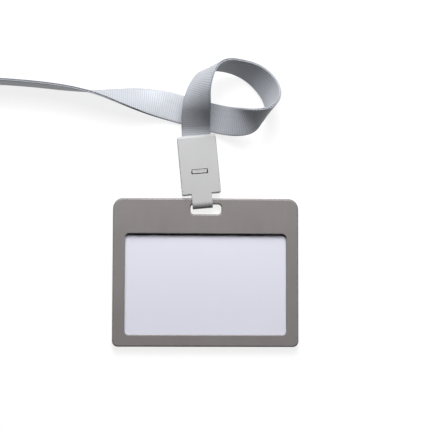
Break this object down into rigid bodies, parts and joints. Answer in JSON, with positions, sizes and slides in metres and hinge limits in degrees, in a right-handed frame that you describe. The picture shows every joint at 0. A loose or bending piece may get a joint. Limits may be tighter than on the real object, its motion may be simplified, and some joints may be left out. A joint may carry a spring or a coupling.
{
  "type": "lanyard badge holder",
  "caption": "Rigid landscape badge holder with a clear window and sliding back, hung from a snap-strap clip on a ribbed neck ribbon.",
  "frame": {"origin": "middle of the holder's back face, which rests on the table", "axes": "+Z out of the face, +Y towards the clip and the neck ribbon, +X to the right of the face"},
  "size_m": [0.2131, 0.1474, 0.0246],
  "materials": {
    "frame_grey": "satin moulded warm grey plastic with softly rounded edges",
    "lens_clear": "clear polished sheet",
    "card_white": "blank satin card with a faint lavender cast",
    "clip_white": "light grey white moulded plastic, fine satin",
    "ribbon_silver": "silver grey ribbed satin ribbon",
    "tie_white": "plain woven hook tie"
  },
  "bodies": {
    "lanyard": {"clip_front_plate": "clip_white", "clip_rear_plate": "clip_white", "ribbon_upper_strand": "ribbon_silver", "ribbon_lower_strand": "ribbon_silver", "ribbon_coil": "ribbon_silver", "coil_tie": "tie_white"},
    "holder": {"front_frame": "frame_grey", "front_window": "lens_clear"},
    "cover": {"rear_cover": "frame_grey", "insert_card": "card_white"},
    "strap_leg": {"strap_rear_leg": "clip_white"}
  },
  "joints": [
    {"name": "holder_swing", "type": "hinge", "parent": "lanyard", "child": "holder", "pos_m": [0.0004, 0.0366, 0.0034], "axis": [-1, 0, 0], "range_deg": [0, 110]},
    {"name": "cover_slide", "type": "slide", "parent": "holder", "child": "cover", "axis": [0, -1, 0], "range_m": [0, 0.05]},
    {"name": "strap_open", "type": "hinge", "parent": "lanyard", "child": "strap_leg", "pos_m": [-0.00182, 0.03596, 0.0003], "axis": [-0.9954, -0.0958, 0], "range_deg": [0, 75]}
  ]
}
